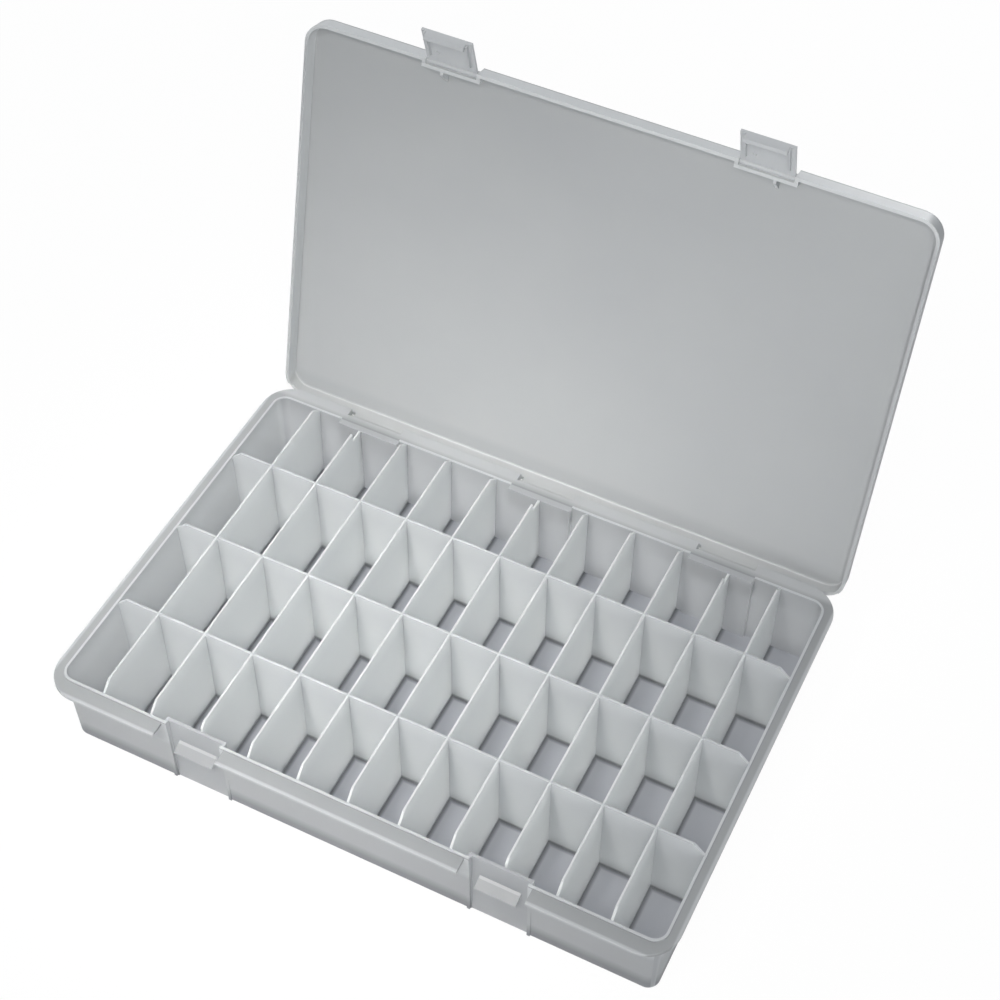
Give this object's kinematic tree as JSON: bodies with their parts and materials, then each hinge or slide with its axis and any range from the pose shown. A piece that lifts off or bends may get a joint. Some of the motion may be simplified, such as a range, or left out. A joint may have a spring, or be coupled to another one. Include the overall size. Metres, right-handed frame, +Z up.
{
  "type": "embroidery thread box",
  "caption": "Translucent plastic thread storage box: shallow tray divided into a grid of small cells, with a hinged flat lid and fold-down latches, lid standing open.",
  "frame": {"origin": "middle of the tray's flat underside", "axes": "+X along the hinge, +Y towards the hinge side, +Z up out of the tray"},
  "size_m": [0.344, 0.3001, 0.2896],
  "materials": {
    "tray_plastic": "satin translucent polypropylene",
    "divider_plastic": "satin translucent polypropylene",
    "lid_plastic": "satin translucent polypropylene",
    "latch_plastic": "satin translucent polypropylene"
  },
  "bodies": {
    "tray": {"tray_shell": "tray_plastic", "tray_flange": "tray_plastic", "column_divider_01": "divider_plastic", "column_divider_02": "divider_plastic", "column_divider_03": "divider_plastic", "column_divider_04": "divider_plastic", "column_divider_05": "divider_plastic", "column_divider_06": "divider_plastic", "column_divider_07": "divider_plastic", "column_divider_08": "divider_plastic", "column_divider_09": "divider_plastic", "column_divider_10": "divider_plastic", "column_divider_11": "divider_plastic", "row_divider_1": "divider_plastic", "row_divider_2": "divider_plastic", "row_divider_3": "divider_plastic", "hinge_pins": "tray_plastic"},
    "lid": {"lid": "lid_plastic"},
    "latch_left": {"latch_left": "latch_plastic"},
    "latch_right": {"latch_right": "latch_plastic"}
  },
  "joints": [
    {"name": "lid_hinge", "type": "hinge", "parent": "tray", "child": "lid", "pos_m": [0, 0.1139, 0.0447], "axis": [1, 0, 0], "range_deg": [0, 103.35]},
    {"name": "latch_left_fold", "type": "hinge", "parent": "lid", "child": "latch_left", "pos_m": [-0.087, 0.17477, 0.26654], "axis": [1, 0, 0], "range_deg": [-45, 62]},
    {"name": "latch_right_fold", "type": "hinge", "parent": "lid", "child": "latch_right", "pos_m": [0.082, 0.17477, 0.26654], "axis": [1, 0, 0], "range_deg": [-45, 62]}
  ]
}
